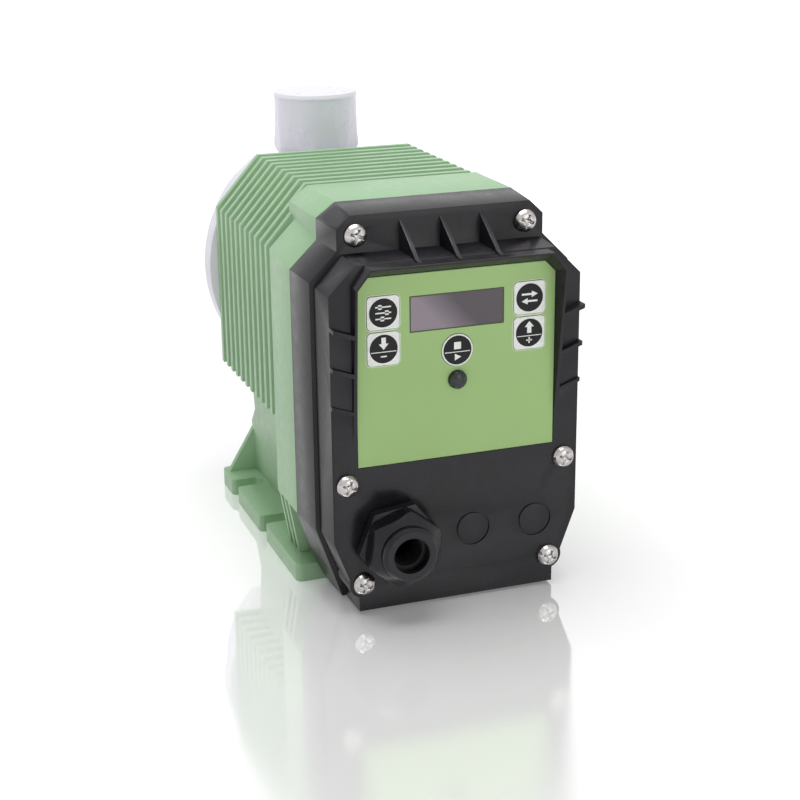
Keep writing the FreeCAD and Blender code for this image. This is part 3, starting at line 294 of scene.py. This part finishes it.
def circuit_board(name, colour):
    shade = Shade(name)
    brick = shade.nodes.new("ShaderNodeTexBrick")
    brick.inputs["Scale"].default_value = 160
    brick.inputs["Mortar Size"].default_value = 0.06
    shade.links.new(shade.place, brick.inputs["Vector"])
    track = shade.spread(brick.outputs["Fac"], 0.0, 1.0, 0.0, 0.6)
    base = shade.blend(track, colour, tint(colour, 1.9))
    shade.colour(shade.blend(shade.spread(shade.noise(60, 5), 0.3, 0.8, 0.0, 0.4), base, tint(colour, 0.7)))
    shade.roughness(shade.spread(shade.noise(300, 2), 0.3, 0.7, 0.3, 0.45))
    shade.bump(track, 0.00005, 0.5)
    return shade.material


def build_finishes(look):
    """One material per slot of the record, with the inks and the stage left to their own steps."""
    white = tuple(look.white_colour)
    black = tuple(look.cover_colour)
    return {
        "green_paint": cast_paint("green_paint", tuple(look.housing_colour)),
        "black_cover": moulded_black("black_cover", black),
        "gasket_rubber": rubber("gasket_rubber", (0.012, 0.012, 0.013)),
        "screw_steel": bright_metal("screw_steel", (0.5, 0.48, 0.47), 0.16, 0.34),
        "label_film": printed_film("label_film", tuple(look.label_colour)),
        "key_white": ink("key_white", (0.86, 0.88, 0.84)),
        "display_glass": display_with_painted_reflection("display_glass", tuple(look.display_colour)),
        "display_grey": display_with_painted_reflection("display_grey", tuple(look.display_colour)),
        "led_dome": led_resin("led_dome", (0.018, 0.024, 0.022)),
        "black_inner": moulded_black("black_inner", (0.02, 0.02, 0.022)),
        "board_green": circuit_board("board_green", (0.01, 0.09, 0.035)),
        "plated_steel": bright_metal("plated_steel", (0.62, 0.62, 0.64), 0.24, 0.42, (1, 12, 1)),
        "bobbin_plastic": moulded_white("bobbin_plastic", (0.58, 0.52, 0.38)),
        "copper_wire": wound_wire("copper_wire", (0.62, 0.22, 0.08)),
        "brass_tube": bright_metal("brass_tube", (0.78, 0.56, 0.2), 0.2, 0.34, (1, 14, 1)),
        "bush_plastic": moulded_white("bush_plastic", (0.78, 0.78, 0.75)),
        # The back plate and pump head get the caps' white made 3 % darker. This is painted shade, since their plastic
        # is the same white as the caps.
        "white_plastic": moulded_white("white_plastic", tint(white, 0.97), 0.36),
        "cap_white": moulded_white("cap_white", white, 0.26),
        "diaphragm_ptfe": moulded_white("diaphragm_ptfe", (0.84, 0.84, 0.8), 0.4),
        "ceramic_ball": moulded_white("ceramic_ball", (0.85, 0.82, 0.74), 0.1),
    }


def led_resin(name, colour):
    shade = Shade(name)
    shade.colour(shade.blend(shade.spread(shade.noise(260, 3), 0.3, 0.7), tint(colour, 0.8), tint(colour, 1.3)))
    shade.roughness(shade.spread(shade.noise(200, 2), 0.3, 0.7, 0.12, 0.2))
    shade.set(Specular_IOR_Level=0.4)
    return shade.material


def add_piece(name, bm, material, body, smooth=30.0):
    """Turns a finished bmesh into an object that rides on a body."""
    bmesh.ops.recalc_face_normals(bm, faces=bm.faces)
    mesh = bpy.data.meshes.new(name)
    bm.to_mesh(mesh)
    bm.free()
    return place_mesh(name, mesh, material, body, smooth)


def place_mesh(name, mesh, material, body, smooth):
    mesh.materials.clear()
    mesh.materials.append(material)
    mesh.shade_smooth()
    mesh.set_sharp_from_angle(angle=math.radians(smooth))
    piece = bpy.data.objects.new(name, mesh)
    bpy.context.scene.collection.objects.link(piece)
    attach(piece, body)
    return piece


def widen_nose(bm):
    """Gives the front end of the gland nut the fuller shoulder of a moulded dome."""
    centre = middle("gland_nut")
    shoulder = front_of("gland_nut") + NOSE_DEPTH
    for vert in bm.verts:
        reach = math.hypot(vert.co.x - centre.x, vert.co.z - centre.z)
        if vert.co.y < shoulder and reach > NOSE_INNER_RADIUS:
            vert.co.x = centre.x + (vert.co.x - centre.x) * NOSE_GROWTH
            vert.co.z = centre.z + (vert.co.z - centre.z) * NOSE_GROWTH


def refine(node, name, material, round_off, sharp=SHARP_ANGLE, reshape=None, segments=2):
    """A merged copy of a CAD node with its sharp edges softened, shown in place of the node."""
    bm = bmesh.new()
    bm.from_mesh(NODES[node].data)
    bmesh.ops.remove_doubles(bm, verts=bm.verts, dist=0.000002)
    bmesh.ops.dissolve_limit(bm, angle_limit=math.radians(0.4), verts=bm.verts, edges=bm.edges)
    if reshape:
        reshape(bm)
    if round_off > 0:
        edges = [e for e in bm.edges if len(e.link_faces) == 2 and e.calc_face_angle(0.0) > math.radians(sharp)]
        bmesh.ops.bevel(bm, geom=edges, offset=round_off, offset_type="OFFSET", affect="EDGES", segments=segments,
                        profile=0.5, material=-1, clamp_overlap=True)
    bmesh.ops.triangulate(bm, faces=[f for f in bm.faces if len(f.verts) > 4])
    mesh = bpy.data.meshes.new(name)
    bm.to_mesh(mesh)
    bm.free()
    piece = place_mesh(name, mesh, material, BODY_OF[node], sharp)
    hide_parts(node)
    return piece


def push_back(bm, faces, depth):
    """Gives flat faces on the panel a thickness towards the rear."""
    result = bmesh.ops.extrude_face_region(bm, geom=faces)
    moved = [v for v in result["geom"] if isinstance(v, bmesh.types.BMVert)]
    bmesh.ops.translate(bm, verts=moved, vec=(0, depth, 0))


def disc(bm, x, y, z, radius, depth, segments=48):
    """Round plate that faces the front."""
    place = Matrix.Translation((x, y, z)) @ Matrix.Rotation(math.pi / 2, 4, "X")
    made = bmesh.ops.create_circle(bm, cap_ends=True, segments=segments, radius=radius, matrix=place)
    push_back(bm, list({f for v in made["verts"] for f in v.link_faces}), depth)


def shape(bm, x, y, z, corners, depth):
    """Flat symbol from a few corners given in millimetres round its middle."""
    verts = [bm.verts.new((x + dx * MM, y, z + dz * MM)) for dx, dz in corners]
    push_back(bm, [bm.faces.new(verts)], depth)


def bar(bm, x, y, z, width, height, depth):
    dx = width / 2
    dz = height / 2
    shape(bm, x, y, z, [(-dx, -dz), (dx, -dz), (dx, dz), (-dx, dz)], depth)


def rounded_square(half, corner, steps=6):
    """Points of a rounded square round the origin."""
    points = []
    for quarter in range(4):
        for k in range(steps + 1):
            angle = math.radians(90 * quarter + 90 * k / steps)
            side_x = 1 if quarter in (0, 3) else -1
            side_z = 1 if quarter in (0, 1) else -1
            points.append((side_x * (half - corner) + corner * math.cos(angle),
                           side_z * (half - corner) + corner * math.sin(angle)))
    return points


def frame_line(bm, x, y, z, size, corner, stroke, depth):
    """Thin rounded square line."""
    outlines = (rounded_square(size / 2, corner), rounded_square(size / 2 - stroke, corner - stroke))
    outer, inner = [[bm.verts.new((x + dx, y, z + dz)) for dx, dz in points] for points in outlines]
    faces = [bm.faces.new((outer[k - 1], outer[k], inner[k], inner[k - 1])) for k in range(len(outer))]
    push_back(bm, faces, depth)


class PumpLook(bpy.types.PropertyGroup):
    housing_colour: bpy.props.FloatVectorProperty(
        name="Housing colour", description="Paint of the die-cast body", subtype="COLOR", size=3,
        min=0.0, max=1.0, default=linear(150, 186, 146))
    cover_colour: bpy.props.FloatVectorProperty(
        name="Cover colour", description="Moulding colour of the front cover and gland", subtype="COLOR", size=3,
        min=0.0, max=1.0, default=linear(26, 24, 29))
    label_colour: bpy.props.FloatVectorProperty(
        name="Label colour", description="Printed ground of the keypad", subtype="COLOR", size=3,
        min=0.0, max=1.0, default=linear(158, 192, 122))
    white_colour: bpy.props.FloatVectorProperty(
        name="White plastic colour", description="Liquid end and cap nuts", subtype="COLOR", size=3,
        min=0.0, max=1.0, default=linear(230, 228, 238))
    display_colour: bpy.props.FloatVectorProperty(
        name="Display colour", description="Unlit display behind its pane", subtype="COLOR", size=3,
        min=0.0, max=1.0, default=linear(138, 126, 137))
    cover_edge: bpy.props.FloatProperty(
        name="Cover edge radius", description="Rounding of the moulded edges", unit="LENGTH", default=0.35 * MM)
    cast_edge: bpy.props.FloatProperty(
        name="Casting edge radius", description="Rounding of the fins and the foot", unit="LENGTH", default=0.5 * MM)


class PumpKeys(bpy.types.PropertyGroup):
    disc_radius: bpy.props.FloatProperty(
        name="Disc radius", description="Black disc on a square key", unit="LENGTH", default=5.9 * MM)
    print_depth: bpy.props.FloatProperty(
        name="Print thickness", description="How far a print stands on what carries it", unit="LENGTH",
        default=0.04 * MM)
    line_size: bpy.props.FloatProperty(
        name="Line square", description="Side of the thin square line round a key", unit="LENGTH", default=14.7 * MM)
    line_stroke: bpy.props.FloatProperty(
        name="Line stroke", description="Width of that line", unit="LENGTH", default=0.25 * MM)


class PumpGland(bpy.types.PropertyGroup):
    rib_pitch: bpy.props.FloatProperty(
        name="Rib pitch", description="Distance between the grip ribs of the nut", unit="LENGTH", default=0.98 * MM)
    rib_height: bpy.props.FloatProperty(
        name="Rib height", description="How far a grip rib stands out", unit="LENGTH", default=0.32 * MM)
    ribs_per_flat: bpy.props.IntProperty(
        name="Ribs per flat", description="Grip ribs on each flat of the nut", default=14, min=1)
    flat_reach: bpy.props.FloatProperty(
        name="Flat distance", description="Distance of a flat from the axis", unit="LENGTH", default=14.5 * MM)
    nose_radius: bpy.props.FloatProperty(
        name="Nose radius", description="Radius where the front bevel starts", unit="LENGTH", default=12.2 * MM)
    bevel_slope: bpy.props.FloatProperty(
        name="Bevel slope", description="Length of the front bevel over its rise", default=4.2 / 4.7)
    turn: bpy.props.FloatProperty(
        name="First flat", description="Direction of the first flat", subtype="ANGLE", default=math.radians(52))


class PumpStage(bpy.types.PropertyGroup):
    camera_place: bpy.props.FloatVectorProperty(
        name="Camera place", description="Camera position in the frame", subtype="TRANSLATION", size=3,
        default=(-0.2404, -0.71948, 0.30184))
    camera_turn: bpy.props.FloatVectorProperty(
        name="Camera turn", description="Camera rotation", subtype="EULER", size=3,
        default=(math.radians(71.708), math.radians(0.604), math.radians(-19.99)))
    lens: bpy.props.FloatProperty(name="Lens", description="Focal length in millimetres", default=75.12)
    top_power: bpy.props.FloatProperty(name="Top lamp", description="Power of the overhead soft box", default=13.5)
    front_power: bpy.props.FloatProperty(name="Front lamp", description="Power of the soft box in front", default=3.4)
    world_level: bpy.props.FloatProperty(name="World level", description="Strength of the plain surround", default=0.2)


class PUMP_OT_finishes(bpy.types.Operator):
    """Puts a finish on every CAD node and softens the edges of those that show"""
    bl_idname = "pump.finishes"
    bl_label = "Finishes"

    def execute(self, context):
        look = context.scene.pump_look
        finishes = build_finishes(look)
        missing = sorted(set(SLOT_OF.values()) - set(finishes))
        if missing:
            raise RuntimeError("no finish for " + ", ".join(missing))
        for node, thing in NODES.items():
            thing.data.materials.clear()
            thing.data.materials.append(finishes[SLOT_OF[node]])
        soft = {
            "housing": ("body_casting", look.cast_edge),
            "front_cover": ("cover_moulding", look.cover_edge),
            "back_plate": ("rear_plate", 0.6 * MM),
            "pump_head": ("head_block", 0.5 * MM),
            "discharge_cap_nut": ("upper_cap", 0.4 * MM),
            "suction_cap_nut": ("lower_cap", 0.4 * MM),
            "discharge_valve_body": ("upper_valve", 0.25 * MM),
            "suction_valve_body": ("lower_valve", 0.25 * MM),
            "gland_nut": ("gland_dome_nut", 0.55 * MM),
            "gland_body": ("gland_hexagon", 0.3 * MM),
            "cover_screws": ("pan_heads", 0.0),
            "status_led": ("led_lens", 0.0),
            "gland_seal": ("gland_insert", 0.25 * MM),
            "head_screws": ("head_bolts", 0.2 * MM),
        }
        for node, (name, edge) in soft.items():
            sharp = CAP_FACET_ANGLE if node in CAP_NUTS else SHARP_ANGLE
            reshape = widen_nose if node == "gland_nut" else None
            refine(node, name, finishes[SLOT_OF[node]], edge, sharp, reshape)
        return {"FINISHED"}


class PUMP_OT_keys(bpy.types.Operator):
    """Prints the discs, lines and symbols of the keypad"""
    bl_idname = "pump.keys"
    bl_label = "Key faces"

    def execute(self, context):
        keys = context.scene.pump_keys
        depth = keys.print_depth
        dark = ink("dark_ink", linear(18, 17, 21))
        pale = ink("pale_ink", linear(240, 243, 238))
        line = ink("line_ink", linear(226, 240, 214))
        rim = ink("rim_ink", linear(74, 78, 58))
        for node in ("key_set", "key_down", "key_mode", "key_up", "key_run"):
            place = middle(node)
            face = front_of(node)
            radius = keys.disc_radius if node != "key_run" else keys.disc_radius * 1.03
            bm = bmesh.new()
            disc(bm, place.x, face - depth, place.z, radius, depth * 1.5)
            add_piece(node + "_disc", bm, dark, BODY_OF[node])
            bm = bmesh.new()
            draw_symbol(bm, node, place.x, face - 2 * depth, place.z, depth * 1.5)
            add_piece(node + "_symbol", bm, pale, BODY_OF[node])
        face = front_of("keypad_overlay")
        bm = bmesh.new()
        for node in ("key_set", "key_down", "key_mode", "key_up"):
            place = middle(node)
            frame_line(bm, place.x, face - depth, place.z, keys.line_size, 2.4 * MM, keys.line_stroke, depth * 1.5)
        add_piece("key_lines", bm, line, ROOT)
        low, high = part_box("display_window")
        pane = middle("display_window")
        wide = (high[0] - low[0]) / MM
        tall = (high[2] - low[2]) / MM
        bm = bmesh.new()
        for side in (-1, 1):
            bar(bm, pane.x, face - depth, pane.z + side * tall / 2 * MM, wide + 0.5, 0.5, depth * 1.5)
            bar(bm, pane.x + side * wide / 2 * MM, face - 1.3 * depth, pane.z, 0.5, tall + 0.5, depth * 1.5)
        add_piece("window_rim", bm, rim, ROOT)
        return {"FINISHED"}


def draw_symbol(bm, node, x, y, z, depth):
    """White marks of one key: arrows, bars, a square and a triangle."""
    if node == "key_set":
        for row, knob in ((2.4, -1.4), (0.0, 1.5), (-2.4, -0.4)):
            bar(bm, x, y, z + row * MM, 6.6, 0.55, depth)
            bar(bm, x + knob * MM, y, z + row * MM, 1.5, 1.9, depth * 1.3)
    elif node == "key_mode":
        for row, way in ((1.45, 1), (-1.45, -1)):
            arrow = [(-3.5, -0.4), (0.9, -0.4), (0.9, -1.35), (3.5, 0.0), (0.9, 1.35), (0.9, 0.4), (-3.5, 0.4)]
            shape(bm, x, y, z + row * MM, [(dx * way, dz) for dx, dz in arrow], depth)
    elif node in ("key_up", "key_down"):
        way = 1 if node == "key_up" else -1
        arrow = [(-0.95, -2.1), (0.95, -2.1), (0.95, 0.5), (2.05, 0.5), (0.0, 2.9), (-2.05, 0.5), (-0.95, 0.5)]
        shape(bm, x, y, z + 2.0 * MM, [(dx, dz * way + (0.0 if way > 0 else 0.6)) for dx, dz in arrow], depth)
        bar(bm, x, y, z - 1.25 * MM, 10.6, 0.32, depth)
        bar(bm, x, y, z - 3.1 * MM, 2.6, 0.55, depth)
        if way > 0:
            bar(bm, x, y, z - 3.1 * MM, 0.55, 2.6, depth * 1.3)
    else:
        shape(bm, x, y, z + 1.9 * MM, [(-1.5, -1.5), (1.5, -1.5), (1.5, 1.5), (-1.5, 1.5)], depth)
        bar(bm, x, y, z - 0.75 * MM, 10.8, 0.32, depth)
        shape(bm, x, y, z - 2.9 * MM, [(-1.2, -1.4), (1.6, 0.0), (-1.2, 1.4)], depth)


class PUMP_OT_gland(bpy.types.Operator):
    """Adds the fine grip ribs on the flats of the gland nut"""
    bl_idname = "pump.gland"
    bl_label = "Gland ribs"

    def execute(self, context):
        gland = context.scene.pump_gland
        centre = middle("gland_nut")
        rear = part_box("gland_nut")[1][1]
        flat = gland.flat_reach
        back = rear - 0.8 * MM
        front = rear - 10.0 * MM
        bm = bmesh.new()
        for side in range(6):
            turn = Matrix.Rotation(-(gland.turn + math.radians(60 * side)), 4, "Y")
            for k in range(gland.ribs_per_flat):
                offset = (k - (gland.ribs_per_flat - 1) / 2) * gland.rib_pitch
                start = front + (math.hypot(flat, offset) - gland.nose_radius) * gland.bevel_slope + 0.1 * MM
                length = back - start
                made = bmesh.ops.create_cone(bm, cap_ends=True, segments=6, radius1=gland.rib_height * 1.4,
                                             radius2=gland.rib_height * 1.4, depth=length,
                                             matrix=Matrix.Rotation(math.pi / 2, 4, "X"))
                axis = Matrix.Translation((centre.x, start + length / 2, centre.z)) @ turn
                place = axis @ Matrix.Translation((flat, 0, offset))
                bmesh.ops.transform(bm, matrix=place, verts=made["verts"])
        add_piece("gland_grip_ribs", bm, NODES["gland_nut"].data.materials[0], BODY_OF["gland_nut"])
        return {"FINISHED"}


class PUMP_OT_stage(bpy.types.Operator):
    """Adds the floor, the lamps and the camera"""
    bl_idname = "pump.stage"
    bl_label = "Stage"

    def execute(self, context):
        stage = context.scene.pump_stage
        scene = context.scene
        bm = bmesh.new()
        bmesh.ops.create_grid(bm, x_segments=1, y_segments=1, size=6.0)
        mesh = bpy.data.meshes.new("studio_floor")
        bm.to_mesh(mesh)
        bm.free()
        floor = bpy.data.objects.new("studio_floor", mesh)
        scene.collection.objects.link(floor)
        mesh.materials.append(floor_gloss("floor_gloss"))
        soft_box("top_box", (-0.1, 0.05, 1.25), (0.0, 0.0, 0.08), 0.9, stage.top_power)
        soft_box("front_box", (0.45, -1.5, 0.55), (0.0, 0.0, 0.08), 0.9, stage.front_power)
        camera = bpy.data.cameras.new("photo_camera")
        camera.lens = stage.lens
        camera.sensor_width = 36.0
        camera.clip_start = 0.01
        holder = bpy.data.objects.new("photo_camera", camera)
        holder.location = stage.camera_place
        holder.rotation_euler = Euler(stage.camera_turn)
        scene.collection.objects.link(holder)
        scene.camera = holder
        surround(scene, stage.world_level)
        scene.view_settings.view_transform = "Standard"
        return {"FINISHED"}


def soft_box(name, place, target, size, power):
    lamp = bpy.data.lights.new(name, "AREA")
    lamp.shape = "SQUARE"
    lamp.size = size
    lamp.energy = power
    holder = bpy.data.objects.new(name, lamp)
    holder.location = place
    holder.rotation_euler = (Vector(target) - Vector(place)).to_track_quat("-Z", "Y").to_euler()
    bpy.context.scene.collection.objects.link(holder)


def seen_directly(nodes, links):
    """One where a ray comes from the camera, a mirror-like surface or clear glass."""
    path = nodes.new("ShaderNodeLightPath")
    level = path.outputs["Is Camera Ray"]
    for kind in ("Is Glossy Ray", "Is Transmission Ray"):
        node = nodes.new("ShaderNodeMath")
        node.operation = "MAXIMUM"
        links.new(level, node.inputs[0])
        links.new(path.outputs[kind], node.inputs[1])
        level = node.outputs[0]
    return level


def floor_gloss(name):
    """Polished white floor that takes the shadow near the pump and runs out to plain white."""
    shade = Shade(name)
    east = shade.axis(0)
    north = shade.axis(1)
    reach = shade.math("ADD", shade.math("MULTIPLY", east, east), shade.math("MULTIPLY", north, north))
    far = shade.spread(reach, 0.05, 0.5)
    tone = shade.blend(shade.spread(shade.noise(3, 3), 0.3, 0.7), (0.9, 0.9, 0.9), (0.92, 0.92, 0.92))
    shade.colour(shade.blend(far, tone, (0.02, 0.02, 0.02)))
    blur = shade.spread(north, -0.15, -0.36, 0.02, 0.3)
    shade.roughness(shade.math("ADD", blur, shade.spread(shade.noise(2, 2), 0.3, 0.7, 0.0, 0.02)))
    shade.set(IOR=4.2, Emission_Color=(1.0, 1.0, 1.0, 1.0))
    shade.links.new(shade.spread(far, 0.0, 1.0, 0.14, 1.0), shade.shader.inputs["Emission Strength"])
    return shade.material


def surround(scene, level):
    world = bpy.data.worlds.new("plain_surround")
    scene.world = world
    world.use_nodes = True
    nodes = world.node_tree.nodes
    links = world.node_tree.links
    background = nodes["Background"]
    background.inputs["Color"].default_value = (1.0, 1.0, 1.0, 1.0)
    strength = nodes.new("ShaderNodeMapRange")
    strength.inputs["To Min"].default_value = level
    strength.inputs["To Max"].default_value = 1.0
    links.new(seen_directly(nodes, links), strength.inputs["Value"])
    links.new(strength.outputs["Result"], background.inputs["Strength"])


class PUMP_PT_panel(bpy.types.Panel):
    bl_label = "Metering pump"
    bl_idname = "PUMP_PT_panel"
    bl_space_type = "VIEW_3D"
    bl_region_type = "UI"
    bl_category = "Pump"

    def draw(self, context):
        for operator in OPERATORS:
            self.layout.operator(operator.bl_idname)
        for name in GROUPS:
            group = getattr(context.scene, name)
            for key in group.__annotations__:
                self.layout.prop(group, key)


GROUPS = {"pump_look": PumpLook, "pump_keys": PumpKeys, "pump_gland": PumpGland, "pump_stage": PumpStage}
OPERATORS = (PUMP_OT_stage, PUMP_OT_finishes, PUMP_OT_keys, PUMP_OT_gland)


def register():
    for name, group in GROUPS.items():
        bpy.utils.register_class(group)
        setattr(bpy.types.Scene, name, bpy.props.PointerProperty(type=group))
    for operator in OPERATORS:
        bpy.utils.register_class(operator)
    bpy.utils.register_class(PUMP_PT_panel)


def unregister():
    bpy.utils.unregister_class(PUMP_PT_panel)
    for operator in reversed(OPERATORS):
        bpy.utils.unregister_class(operator)
    for name, group in reversed(list(GROUPS.items())):
        delattr(bpy.types.Scene, name)
        bpy.utils.unregister_class(group)


def main():
    register()
    bpy.ops.pump.stage()
    bpy.ops.pump.finishes()
    bpy.ops.pump.keys()
    bpy.ops.pump.gland()


if __name__ == "__main__":
    main()
